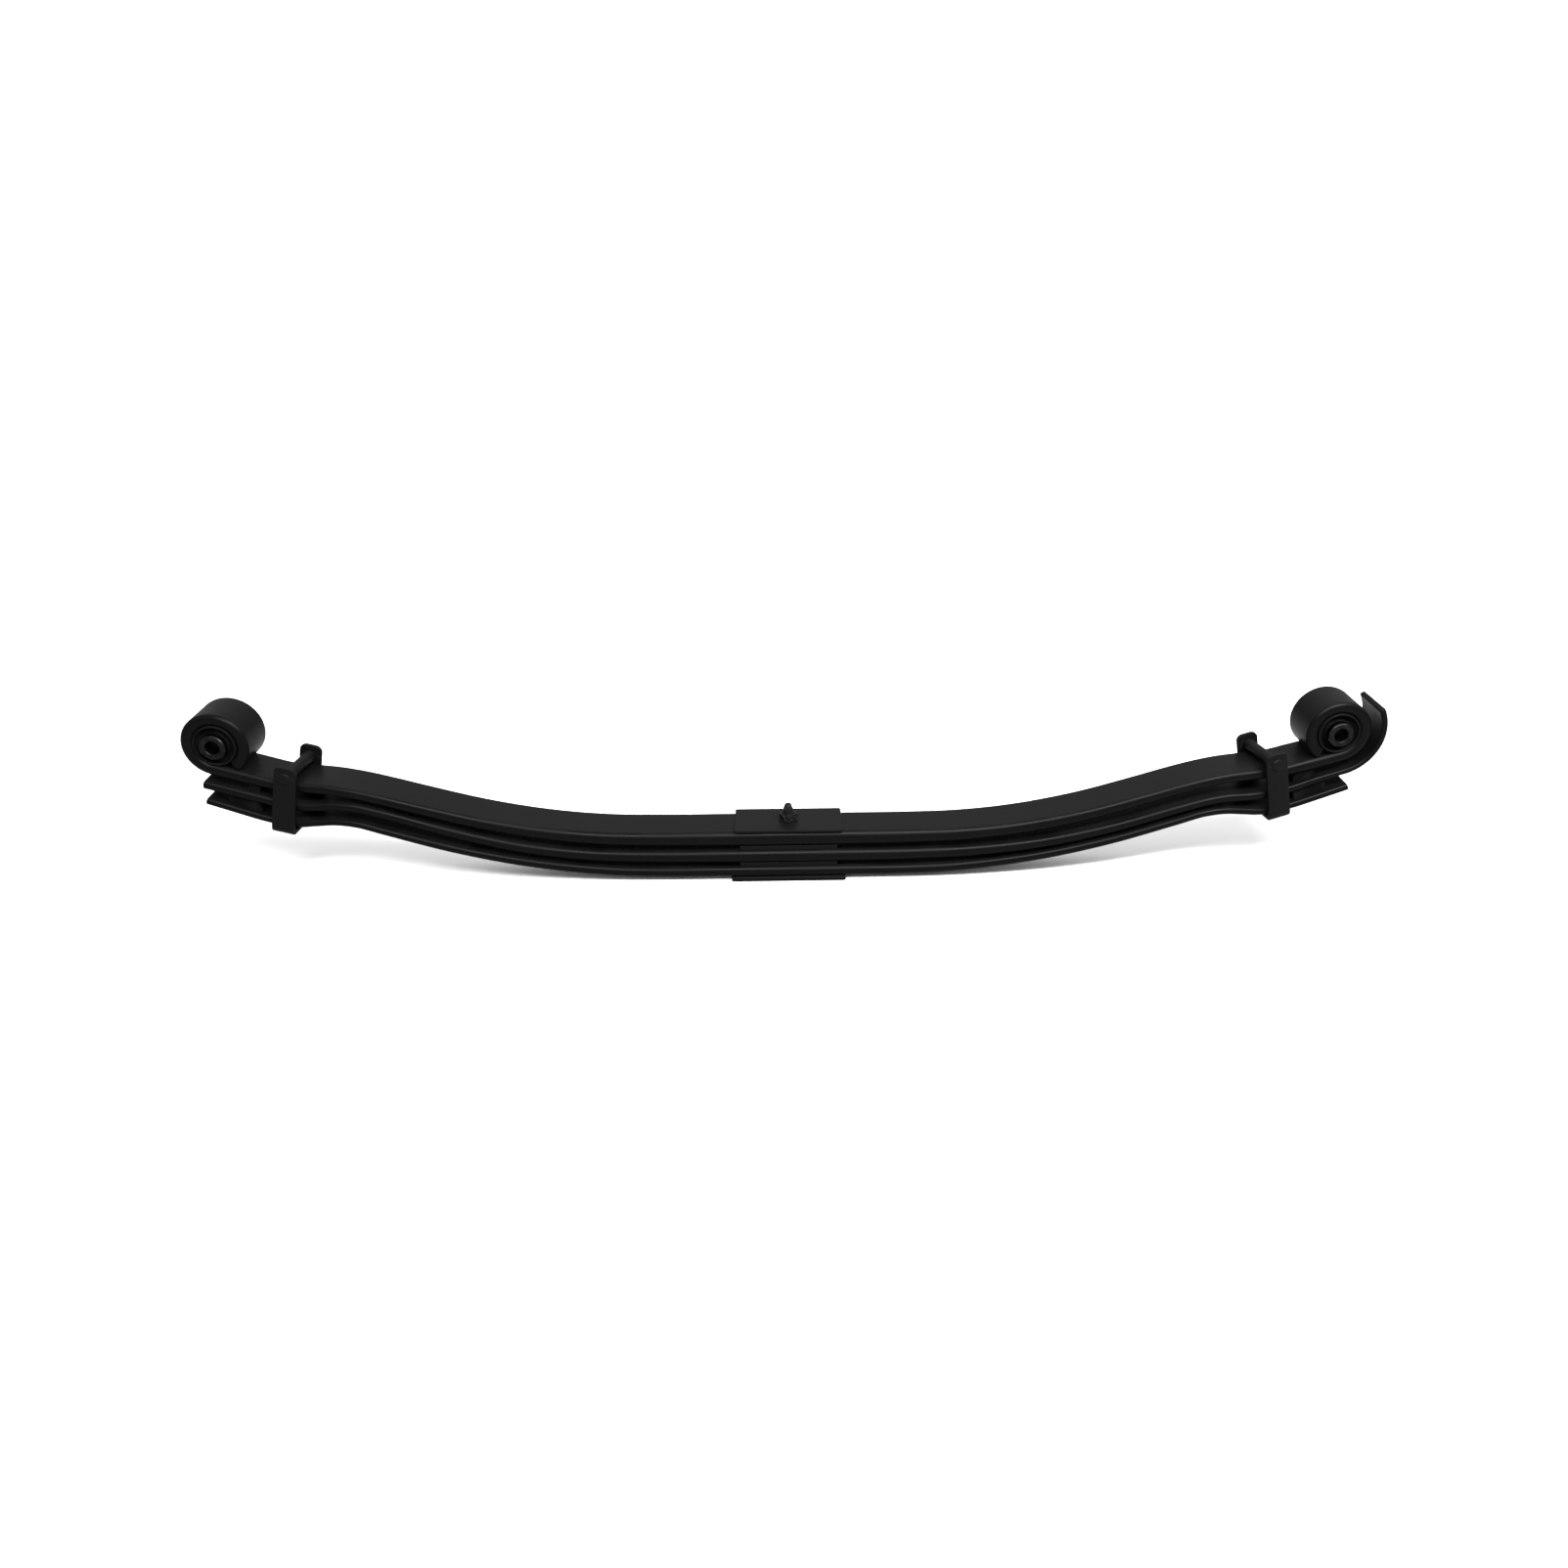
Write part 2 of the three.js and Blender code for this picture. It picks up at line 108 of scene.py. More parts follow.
CLIP = {
    "reach": {"left": 97, "right": 94}, "tilt": math.radians(12.5),
    "skew": {"left": math.radians(5), "right": math.radians(9)}, "width": 33, "thickness": 6,
    "inside": LEAF_WIDTH + 7, "depth": 76, "rise": 27, "bend": 9, "corner": 9, "bolt_height": 10.5,
}
GAP = 0.3
CLIP_BOLT_R = 5
CLIP_HEAD_R = 9
CLIP_HEAD_HEIGHT = 3.6
CLIP_NUT = {"flats": 17, "height": 8}
BOLT_R = 7.5
BOLT_HOLE_R = 8
BOLT_HEAD_R = 12
HEAD_POCKET_R = 12.6
BOLT_POINT = {"length": 7.5, "r": 4.6}
SHELL_INNER_R = 28
SLEEVE_R = (10.25, 18.5)
SHELL_HALF = LEAF_WIDTH / 2 - 1
RUBBER_HALF = LEAF_WIDTH / 2 - 4
SLEEVE_HALF = LEAF_WIDTH / 2 + 6

# ---------------------------------------------------------------- sizes of the finer shapes

RIB_STEP = 5
FLAT_STEP = 10
ROLL_STEP = 4
EDGE_BOW = 0.58  # radius of a leaf's bowed edge as a share of its thickness
EDGE_CORNER = 2.4  # radius of the corners above and below it
TIP_ROUND = 2.2
SUPPORT = 1.5  # distance from an edge to the first line of points on the flat beside it
RUBBER_DISH = 7  # how far the middle of the rubber's end face lies in
CORNER_STEPS = 6
BOW_STEPS = 12
ARC_STEPS = 8
BEVEL_STEPS = 4
FINE_SEGMENTS = 96
SEGMENTS = 64
NUT_SEGMENTS = 72
HOLE_SEGMENTS = 32

# ---------------------------------------------------------------- stage

FLOOR_REACH = 30  # metres
FLOOR_SEEN = (0.92, 0.92, 0.92)
FLOOR_GIVEN_BACK = (0.4, 0.4, 0.4)
SKY_STRENGTH = (0.4, 1.48)  # at the horizon and overhead
SKY_SEEN_EXTRA = 0.75


# ---------------------------------------------------------------- materials


def shader(name, color, roughness, metallic=0.0, ior=1.5):
    """A new material and its nodes, links and Principled shader."""
    material = bpy.data.materials.new(name)
    material.use_nodes = True
    nodes, links = material.node_tree.nodes, material.node_tree.links
    principled = nodes["Principled BSDF"]
    principled.inputs["Base Color"].default_value = (*color, 1)
    principled.inputs["Roughness"].default_value = roughness
    principled.inputs["Metallic"].default_value = metallic
    principled.inputs["IOR"].default_value = ior
    return material, nodes, links, principled


def noise(nodes, links, coordinates, scale, detail, roughness):
    """The grey value of a noise texture."""
    node = nodes.new("ShaderNodeTexNoise")
    node.inputs["Scale"].default_value = scale
    node.inputs["Detail"].default_value = detail
    node.inputs["Roughness"].default_value = roughness
    links.new(coordinates, node.inputs["Vector"])
    return node.outputs["Fac"]


def remap(nodes, links, value, low, high, to_low, to_high):
    """The value carried from the range low..high to to_low..to_high, held at its ends."""
    node = nodes.new("ShaderNodeMapRange")
    node.inputs["From Min"].default_value = low
    node.inputs["From Max"].default_value = high
    node.inputs["To Min"].default_value = to_low
    node.inputs["To Max"].default_value = to_high
    links.new(value, node.inputs["Value"])
    return node.outputs["Result"]


def mixed(nodes, links, factor, first, second):
    """A colour from first to second as factor goes from 0 to 1."""
    node = nodes.new("ShaderNodeMix")
    node.data_type = "RGBA"
    links.new(factor, node.inputs[0])
    for socket, value in ((node.inputs[6], first), (node.inputs[7], second)):
        if isinstance(value, tuple):
            socket.default_value = (*value, 1)
        else:
            links.new(value, socket)
    return node.outputs[2]


def calculate(nodes, links, operation, first, second):
    """A maths node of two values, clamped to 0..1 except when it adds."""
    node = nodes.new("ShaderNodeMath")
    node.operation = operation
    node.use_clamp = operation != "ADD"
    for socket, value in ((node.inputs[0], first), (node.inputs[1], second)):
        if isinstance(value, (int, float)):
            socket.default_value = value
        else:
            links.new(value, socket)
    return node.outputs["Value"]


def bumped(nodes, links, principled, height, distance, strength):
    """Tilts the shader's normal by a height texture."""
    node = nodes.new("ShaderNodeBump")
    node.inputs["Distance"].default_value = distance
    node.inputs["Strength"].default_value = strength
    links.new(height, node.inputs["Height"])
    links.new(node.outputs["Normal"], principled.inputs["Normal"])


def black_paint(name, color, roughness, ior, grain, seam=0.0):
    """Satin black paint over blasted steel: fine grain, soft blotches, dust on top, and lighter edges that
    are partly thin wear and partly a painted highlight.
    There is no edge wear or painted highlight within seam of X = 0, where two halves of a leaf meet."""
    material, nodes, links, principled = shader(name, color, roughness, ior=ior)
    coordinates = nodes.new("ShaderNodeTexCoord").outputs["Object"]
    geometry = nodes.new("ShaderNodeNewGeometry")
    fine = noise(nodes, links, coordinates, 900, 3, 0.6)
    pits = noise(nodes, links, coordinates, 260, 5, 0.65)
    blotch = noise(nodes, links, coordinates, 14, 4, 0.55)

    split = nodes.new("ShaderNodeSeparateXYZ")
    links.new(geometry.outputs["Normal"], split.inputs["Vector"])
    facing_up = remap(nodes, links, split.outputs["Z"], 0.35, 1.0, 0.0, 1.0)
    patchy = remap(nodes, links, blotch, 0.35, 0.7, 0.25, 1.0)
    dusty = calculate(nodes, links, "MULTIPLY", facing_up, patchy)
    # lighter edges in patches: partly thin paint wear, partly a painted highlight along the edges
    edge = remap(nodes, links, geometry.outputs["Pointiness"], 0.53, 0.62, 0.0, 1.0)
    edge_patches = remap(nodes, links, pits, 0.5, 0.62, 0.0, 0.7)
    edge_wear_and_highlight = calculate(nodes, links, "MULTIPLY", edge, edge_patches)
    if seam:
        place = nodes.new("ShaderNodeSeparateXYZ")
        links.new(coordinates, place.inputs["Vector"])
        from_middle = calculate(nodes, links, "ABSOLUTE", place.outputs["X"], 0)
        clear = remap(nodes, links, from_middle, seam, seam + 0.002, 0.0, 1.0)
        edge_wear_and_highlight = calculate(nodes, links, "MULTIPLY", edge_wear_and_highlight, clear)

    dust_color = tuple(c * 1.8 + 0.001 for c in color)
    wear_and_highlight_color = (0.05, 0.049, 0.047)
    painted = mixed(nodes, links, dusty, color, dust_color)
    links.new(mixed(nodes, links, edge_wear_and_highlight, painted, wear_and_highlight_color), principled.inputs["Base Color"])
    rough = remap(nodes, links, blotch, 0.3, 0.7, roughness - 0.06, roughness + 0.08)
    rougher = calculate(nodes, links, "MULTIPLY", dusty, 0.1)
    links.new(calculate(nodes, links, "ADD", rough, rougher), principled.inputs["Roughness"])
    coarse = calculate(nodes, links, "MULTIPLY", pits, 0.8)
    height = calculate(nodes, links, "ADD", coarse, fine)
    bumped(nodes, links, principled, height, 0.0004, grain)
    return material


def turned_steel(name, color, roughness):
    """Dark phosphated steel with turning marks round its own axis and rubbed ends; its edges are lightened
    all round, partly as rubbed steel and partly as a painted highlight.
    """
    material, nodes, links, principled = shader(name, color, roughness, metallic=1.0)
    coordinates = nodes.new("ShaderNodeTexCoord").outputs["Object"]
    geometry = nodes.new("ShaderNodeNewGeometry")
    marks = nodes.new("ShaderNodeTexWave")
    marks.wave_type = "RINGS"
    marks.rings_direction = "Y"
    marks.inputs["Scale"].default_value = 420
    marks.inputs["Distortion"].default_value = 1.2
    marks.inputs["Detail"].default_value = 2
    links.new(coordinates, marks.inputs["Vector"])
    grime = noise(nodes, links, coordinates, 120, 5, 0.6)
    fine = noise(nodes, links, coordinates, 1200, 2, 0.5)
    # lighter edges all round: partly rubbed steel, partly a painted highlight
    edge = remap(nodes, links, geometry.outputs["Pointiness"], 0.52, 0.6, 0.0, 1.0)
    rubbed_and_highlit = tuple(min(1, c * 3) for c in color)
    stain = tuple(c * 0.4 for c in color)
    stained = mixed(nodes, links, remap(nodes, links, grime, 0.35, 0.7, 0, 1), color, stain)
    links.new(mixed(nodes, links, edge, stained, rubbed_and_highlit), principled.inputs["Base Color"])
    rough = remap(nodes, links, grime, 0.3, 0.7, roughness - 0.08, roughness + 0.12)
    links.new(rough, principled.inputs["Roughness"])
    coarse = calculate(nodes, links, "MULTIPLY", marks.outputs["Fac"], 0.6)
    height = calculate(nodes, links, "ADD", coarse, fine)
    bumped(nodes, links, principled, height, 0.0002, 0.35)
    return material


def soft_black(name, color, roughness, ior, scale, grain):
    """Moulded rubber or plastic: a faint bloom in patches over a fine grain."""
    material, nodes, links, principled = shader(name, color, roughness, ior=ior)
    coordinates = nodes.new("ShaderNodeTexCoord").outputs["Object"]
    bloom = noise(nodes, links, coordinates, 45, 5, 0.6)
    fine = noise(nodes, links, coordinates, scale, 3, 0.55)
    pale = tuple(c * 2.0 + 0.002 for c in color)
    bloomed = mixed(nodes, links, remap(nodes, links, bloom, 0.42, 0.72, 0, 1), color, pale)
    links.new(bloomed, principled.inputs["Base Color"])
    rough = remap(nodes, links, bloom, 0.3, 0.7, roughness - 0.08, roughness + 0.06)
    links.new(rough, principled.inputs["Roughness"])
    bumped(nodes, links, principled, fine, 0.0003, grain)
    return material


LEAF_PAINT = black_paint("leaf paint", (0.0018, 0.0018, 0.0019), 0.3, 1.125, 0.16, seam=0.012)
PAD_PAINT = black_paint("pad paint", (0.0026, 0.0027, 0.0028), 0.4, 1.125, 0.26)
FASTENER_PAINT = black_paint("fastener paint", (0.0030, 0.0031, 0.0032), 0.42, 1.125, 0.2)
SLEEVE_STEEL = turned_steel("sleeve steel", (0.016, 0.016, 0.0165), 0.38)
BUSH_RUBBER = soft_black("bush rubber", (0.0018, 0.0018, 0.0019), 0.75, 1.08, 700, 0.35)
LINER_PLASTIC = soft_black("liner plastic", (0.002, 0.002, 0.0021), 0.65, 1.08, 900, 0.2)


# ---------------------------------------------------------------- meshes


def loft(rows, closed_rows=False):
    """Points and faces of a skin over rows of equally many points, each row a closed loop.
    With closed_rows the last row joins the first, otherwise both ends are capped."""
    count = len(rows[0])
    points = [p for row in rows for p in row]
    faces = []
    pairs = list(zip(range(len(rows)), range(1, len(rows))))
    if closed_rows:
        pairs.append((len(rows) - 1, 0))
    for i, j in pairs:
        for k in range(count):
            n = (k + 1) % count
            faces.append((i * count + k, i * count + n, j * count + n, j * count + k))
    if not closed_rows:
        faces.append(tuple(range(count)))
        faces.append(tuple((len(rows) - 1) * count + k for k in range(count)))
    return points, faces


def mesh_object(name, points, faces, sharp=32, matrix=None):
    """A closed mesh object from points in millimetres, with its normals outwards. Edges flatter than the
    sharp angle are smooth."""
    mesh = bpy.data.meshes.new(name)
    mesh.from_pydata([tuple(c * MM for c in p) for p in points], [], faces)
    if matrix is not None:
        mesh.transform(matrix)
    shape = bmesh.new()
    shape.from_mesh(mesh)
    bmesh.ops.remove_doubles(shape, verts=shape.verts, dist=1e-6)
    bmesh.ops.recalc_face_normals(shape, faces=shape.faces)
    shape.to_mesh(mesh)
    shape.free()
    mesh.shade_smooth()
    mesh.set_sharp_from_angle(angle=math.radians(sharp))
    piece = bpy.data.objects.new(name, mesh)
    bpy.context.scene.collection.objects.link(piece)
    return piece


def settle(piece, material, slot, body, *nodes):
    """Gives a piece its material and body and hides the CAD nodes that it stands for; slot is not used."""
    piece.data.materials.append(material)
    if body:
        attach(piece, body)
    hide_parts(*nodes)
    return piece


def fillet(points, radius, steps=4):
    """A closed 2-D outline with its corners rounded."""
    rounded = []
    for i, corner in enumerate(points):
        at = Vector(corner)
        back = (Vector(points[i - 1]) - at).normalized()
        on = (Vector(points[(i + 1) % len(points)]) - at).normalized()
        angle = back.angle(on)
        if angle > math.pi - 0.05:
            rounded.append(tuple(at))
            continue
        reach = radius / math.tan(angle / 2)
        centre = at + (back + on).normalized() * (radius / math.sin(angle / 2))
        first, last = at + back * reach - centre, at + on * reach - centre
        sweep = math.pi - angle
        for k in range(steps + 1):
            share = k / steps
            arm = (first * math.sin((1 - share) * sweep) + last * math.sin(share * sweep)) / math.sin(sweep)
            rounded.append(tuple(centre + arm))
    return rounded


def revolved(rows, segments):
    """Rows of points turned about Z. A row is (radius, height), and either may be an array over the
    segments."""
    angles = np.arange(segments) * 2 * math.pi / segments
    made = []
    for radius, height in rows:
        r = np.broadcast_to(np.asarray(radius, float), segments)
        h = np.broadcast_to(np.asarray(height, float), segments)
        made.append(list(zip(r * np.cos(angles), r * np.sin(angles), h)))
    return made


def ring(name, profile, segments, matrix, sharp=32):
    """A turned piece with a bore: profile is a closed outline of (radius, height)."""
    skin = loft(revolved(profile, segments), closed_rows=True)
    return mesh_object(name, *skin, sharp=sharp, matrix=matrix)


def solid_of_turning(name, rows, segments, matrix, sharp=32):
    """A turned piece with no bore: rows run from one pole on the axis to the other."""
    return mesh_object(name, *loft(revolved(rows, segments)), sharp=sharp, matrix=matrix)


def tube_profile(outer, inner, low, high, rounding):
    """The closed outline of a tube with rounded edges, as (radius, height)."""
    return fillet([(inner, low), (outer, low), (outer, high), (inner, high)], rounding)


def nut_rows(flats, bore_r, height):
    """A hexagon nut: chamfered corners and countersunk bore, standing on height 0."""
    angles = np.arange(NUT_SEGMENTS) * 2 * math.pi / NUT_SEGMENTS
    outer = flats / 2 / np.cos((angles % (math.pi / 3)) - math.pi / 6)
    flat_r = flats / 2 * 0.95
    fall = (outer - flat_r) * math.tan(math.radians(28))
    sink = 0.9
    return [
        (bore_r + sink, 0), (flat_r, 0), (outer, fall), (outer, height - fall), (flat_r, height),
        (bore_r + sink, height), (bore_r, height - sink), (bore_r, sink),
    ]


def thread_rows(radius, depth, pitch, low, high, limit, per_pitch=7):
    """Rows of a screw thread between two heights, kept within limit(height)."""
    angles = np.arange(SEGMENTS) / SEGMENTS
    count = round((high - low) / pitch * per_pitch)
    rows = []
    for i in range(count + 1):
        height = low + (high - low) * i / count
        phase = (height / pitch - angles) % 1.0
        groove = np.clip(1.35 * (1 - np.abs(2 * phase - 1)) - 0.15, 0, 1)
        rows.append((np.minimum(radius - depth * groove, limit(height)), height))
    return rows


def slab(name, low, high, corner, edge, hole_r, segments=12):
    """A flat plate between two corners of a box, with rounded corners and edges and a round hole at
    X = Y = 0."""
    half = ((high[0] - low[0]) / 2, (high[1] - low[1]) / 2)
    middle = ((high[0] + low[0]) / 2, (high[1] + low[1]) / 2)

    def outline(inset):
        a, b = half[0] - inset, half[1] - inset
        corners = [(a, -b), (a, b), (-a, b), (-a, -b)]
        return fillet(corners, max(corner - inset, 0.2), segments)

    outlines = [(edge + SUPPORT, low[2])]
    for k in range(BEVEL_STEPS + 1):
        turn = math.pi / 2 * k / BEVEL_STEPS
        outlines.append((edge * (1 - math.sin(turn)), low[2] + edge * (1 - math.cos(turn))))
    outlines += [(inset, low[2] + high[2] - z) for inset, z in reversed(outlines)]
    rows = []
    for inset, z in outlines:
        rows.append([(x + middle[0], y + middle[1], z) for x, y in outline(inset)])
    turns = [math.atan2(y, x) for x, y, _ in rows[0]]
    support_r = hole_r + SUPPORT
    for r, z in ((support_r, high[2]), (hole_r, high[2]), (hole_r, low[2]), (support_r, low[2])):
        rows.append([(r * math.cos(turn), r * math.sin(turn), z) for turn in turns])
    return mesh_object(name, *loft(rows, closed_rows=True), sharp=40)


def cut_away(piece, tool):
    """Takes the tool's solid out of the piece for good and deletes the tool."""
    modifier = piece.modifiers.new("cut", "BOOLEAN")
    modifier.operation = "DIFFERENCE"
    modifier.object = tool
    modifier.solver = "EXACT"
    bpy.context.view_layer.update()
    evaluated = piece.evaluated_get(bpy.context.evaluated_depsgraph_get())
    mesh = bpy.data.meshes.new_from_object(evaluated)
    piece.modifiers.clear()
    piece.data = mesh
    mesh.set_sharp_from_angle(angle=math.radians(32))
    bpy.data.objects.remove(tool)


# ---------------------------------------------------------------- leaf curves


def smooth_curve(stations):
    """A smooth height z(u) through stations (u, z) listed with u falling."""
    us, zs = [s[0] for s in stations], [s[1] for s in stations]
    last = len(stations) - 1
    chords = [(zs[i + 1] - zs[i]) / (us[i + 1] - us[i]) for i in range(last)]
    slopes = [chords[0]]
    for i in range(1, last):
        before, after = us[i - 1] - us[i], us[i] - us[i + 1]
        slopes.append((chords[i - 1] * after + chords[i] * before) / (before + after))
    slopes.append(chords[-1])

    def height(u):
        k = min(max((i for i, at in enumerate(us) if at >= u), default=0), last - 1)
        h = us[k + 1] - us[k]
        s = (u - us[k]) / h
        return (zs[k] * (1 + 2 * s) * (1 - s) ** 2 + slopes[k] * h * s * (1 - s) ** 2
                + zs[k + 1] * s * s * (3 - 2 * s) + slopes[k + 1] * h * s * s * (s - 1))

    return height


def taper(leaf, u):
    """Thickness of a leaf at reach u: a parabola from the clamp out to where its even end starts."""
    reach = min(max(u, 0), ROOT_REACH)
    parabola = math.sqrt((reach + TAPER_OFFSET) / (ROOT_REACH + TAPER_OFFSET))
    return ROOT_THICKNESS[leaf] * max(END_SHARE, parabola)


def eased(u, span, first, second):
    """From first to second as u crosses the span, with a soft start and end."""
    s = min(max((u - span[0]) / (span[1] - span[0]), 0), 1)
    return first + (second - first) * s * s * (3 - 2 * s)


def on_tangent(r, u):
    """The station at reach u on the line that runs into the roll of radius r."""
    return (u, EYE_HEIGHT - r / math.cos(EYE_SLOPE) - u * math.tan(EYE_SLOPE))


def arm_ribs(arm, centre_top, stations, end_u, thickness_at):
    """Ribs from the centre bolt to the arm's end. A rib is (top point, bottom point) in (u, z), where u is
    measured from the eye's axis towards the centre bolt."""
    height = smooth_curve([(ROOT_REACH, centre_top), *stations])
    flat = math.ceil((arm - ROOT_REACH) / FLAT_STEP)
    ribs = []
    for i in range(flat):
        u = arm + (ROOT_REACH - arm) * i / flat
        ribs.append(((u, centre_top), (u, centre_top - thickness_at(u))))
    count = round((ROOT_REACH - end_u) / RIB_STEP)
    for i in range(count + 1):
        u = ROOT_REACH + (end_u - ROOT_REACH) * i / count
        slope = 0 if i == 0 else (height(u + 1) - height(u - 1)) / 2
        length = math.hypot(1, slope)
        t = thickness_at(u)
        z = height(u)
        ribs.append(((u, z), (u + slope / length * t, z - t / length)))
    return ribs


def roll_ribs(inner, outer, end_angle, opening=0):
    """Ribs round an eye from its lowest point on, the radii growing by opening up to the end."""
    sweep = end_angle - EYE_SLOPE
    count = round(math.degrees(sweep) / ROLL_STEP)
    ribs = []
    for i in range(count + 1):
        angle = EYE_SLOPE + sweep * i / count
        grown = opening * (i / count) ** 2
        radii = (inner + grown, outer + grown)
        ribs.append(tuple((-r * math.sin(angle), EYE_HEIGHT - r * math.cos(angle)) for r in radii))
    return ribs


def section(thickness, inset=0.0):
    """The leaf's cross-section with bowed edges: (across, down from the top) points round it."""
    half = LEAF_WIDTH / 2 - inset
    depth = thickness - 2 * inset
    bow = EDGE_BOW * thickness
    corner = min(EDGE_CORNER, depth / 3)
    reach = math.sqrt((bow - corner) ** 2 - (depth / 2 - corner) ** 2)
    flat = half - bow + reach
    turn = math.asin((depth / 2 - corner) / (bow - corner))
    side = []
    for k in range(CORNER_STEPS + 1):
        at = math.pi / 2 + (turn - math.pi / 2) * k / CORNER_STEPS
        side.append((flat + corner * math.cos(at), inset + corner * (1 - math.sin(at))))
    upper_corner = list(side)
    for k in range(1, BOW_STEPS):
        at = turn * (1 - 2 * k / BOW_STEPS)
        side.append((half - bow + bow * math.cos(at), inset + depth / 2 - bow * math.sin(at)))
    side += [(y, thickness - d) for y, d in reversed(upper_corner)]
    across = [-flat + SUPPORT, -flat * 0.5, 0, flat * 0.5, flat - SUPPORT]
    top = [(y, inset) for y in across]
    bottom = [(-y, inset + depth) for y in across]
    return top + side + bottom + [(-y, thickness - d) for y, d in side]


def rib_row(side, rib, inset=0.0):
    """The leaf's cross-section set up along a rib."""
    (u, z), (below_u, below_z) = rib
    thickness = math.hypot(below_u - u, below_z - z)
    du, dz = (below_u - u) / thickness, (below_z - z) / thickness
    sign = SIDES[side]
    row = []
    for y, d in section(thickness, inset):
        row.append((sign * (ARM[side] - (u + du * d)), y, z + dz * d))
    return row


def leaf_half(name, side, ribs):
    """One half of a leaf, from the centre bolt out, with its tip's edges rounded."""
    rows = [rib_row(side, rib) for rib in ribs]
    (tip_top, tip_bottom), (near_top, near_bottom) = ribs[-1], ribs[-2]
    run = math.hypot(tip_top[0] - near_top[0], tip_top[1] - near_top[1])
    rounded = []
    for k in range(BEVEL_STEPS + 1):
        turn = math.pi / 2 * k / BEVEL_STEPS
        back = TIP_ROUND * (1 - math.sin(turn)) / run
        inset = TIP_ROUND * (1 - math.cos(turn))
        rib = tuple(
            (at[0] + (near[0] - at[0]) * back, at[1] + (near[1] - at[1]) * back)
            for at, near in ((tip_top, near_top), (tip_bottom, near_bottom))
        )
        rounded.append(rib_row(side, rib, inset))
    piece = mesh_object(name, *loft(rows[:-1] + rounded), sharp=32)
    drill = [(0, -20), (BOLT_HOLE_R, -20), (BOLT_HOLE_R, 130), (0, 130)]
    cut_away(piece, solid_of_turning("bolt hole", drill, HOLE_SEGMENTS, None))
    return piece


def main_thickness(u):
    return eased(u, EYE_BLEND, EYE_OUTER_R - EYE_BORE_R, taper(0, u))


def second_thickness(u):
    return taper(1, u)


def wrapped_thickness(u):
    return eased(u, WRAP_BLEND, WRAP_THICKNESS, taper(1, u))


def third_thickness(u):
    return taper(2, u)


def leaf_ribs(side):
    """The ribs of the three leaves on one side, by CAD node."""
    arm = ARM[side]
    stations = [*MAIN_TOP[side], on_tangent(EYE_BORE_R, 10)]
    main = arm_ribs(arm, CENTRE_TOPS[0], stations, ARM_END["main"], main_thickness)
    if side == "right":
        stations = [*SECOND_TOP[side], on_tangent(WRAP_INNER_R, -8)]
        second = arm_ribs(arm, CENTRE_TOPS[1], stations, ARM_END["wrapped"], wrapped_thickness)
        second += roll_ribs(WRAP_INNER_R, WRAP_INNER_R + WRAP_THICKNESS, WRAP_END, WRAP_OPENING)
    else:
        second = arm_ribs(arm, CENTRE_TOPS[1], SECOND_TOP[side], ARM_END["second"], second_thickness)
    return {
        "leaf_1_main": main + roll_ribs(EYE_BORE_R, EYE_OUTER_R, EYE_ROLL_END),
        "leaf_2_wrapper": second,
        "leaf_3": arm_ribs(arm, CENTRE_TOPS[2], THIRD_TOP, ARM_END["third"], third_thickness),
    }


for side, sign in SIDES.items():
    for node, ribs in leaf_ribs(side).items():
        half = leaf_half(f"{node}_{side}", side, ribs)
        settle(half, LEAF_PAINT, "leaf_steel", None, node)
        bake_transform(half)


# ---------------------------------------------------------------- centre clamp


def node_box(node):
    """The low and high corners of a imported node, in millimetres."""
    low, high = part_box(node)
    return [c / MM for c in low], [c / MM for c in high]


# each plate's corner radius, edge radius and hole radius
PLATES = {
    "top_pad": (3.0, 1.0, BOLT_HOLE_R),
    "bottom_pad": (4.0, 1.2, HEAD_POCKET_R),
    "centre_spacer_upper": (2.0, 0.6, BOLT_HOLE_R),
    "centre_spacer_lower": (2.0, 0.6, BOLT_HOLE_R),
}
for node, (corner, edge, hole_r) in PLATES.items():
    plate = slab(f"{node}_plate", *node_box(node), corner, edge, hole_r)
    settle(plate, PAD_PAINT, "pad_steel", "centre", node)

BOLT_TOP = node_box("centre_bolt")[1][2]
nut_low, nut_high = node_box("centre_nut")
washer_low, washer_high = node_box("centre_washer")


def bolt_limit(height):
    """Radius of the bolt's tapered end."""
    share = max(0, (height - BOLT_TOP + BOLT_POINT["length"]) / BOLT_POINT["length"])
    return BOLT_R + (BOLT_POINT["r"] - BOLT_R) * share


head_top = CENTRE_TOPS[2] - ROOT_THICKNESS[2] - GAP
bolt_rows = [
    (0, 0), (BOLT_HEAD_R - 1, 0), (BOLT_HEAD_R - 0.3, 0.3), (BOLT_HEAD_R, 1), (BOLT_HEAD_R, head_top),
    (BOLT_R, head_top), (BOLT_R, nut_high[2] - 1),
    *thread_rows(BOLT_R, 0.85, 1.5, nut_high[2] - 0.5, BOLT_TOP - BOLT_POINT["length"], bolt_limit),
    (bolt_limit(BOLT_TOP - 1), BOLT_TOP - 1), (bolt_limit(BOLT_TOP) - 0.9, BOLT_TOP), (0, BOLT_TOP),
]
centre_bolt = solid_of_turning("centre_bolt_threaded", bolt_rows, SEGMENTS, None, sharp=40)
settle(centre_bolt, FASTENER_PAINT, "fastener_steel", "centre", "centre_bolt")
washer_r = (washer_high[0] - washer_low[0]) / 2
washer_profile = tube_profile(washer_r, BOLT_HOLE_R, washer_low[2], washer_high[2], 0.5)
washer = ring("centre_washer_ring", washer_profile, SEGMENTS, None)
settle(washer, FASTENER_PAINT, "fastener_steel", "centre", "centre_washer")
nut_profile = nut_rows(nut_high[1] * 2, BOLT_R + GAP, nut_high[2] - nut_low[2])
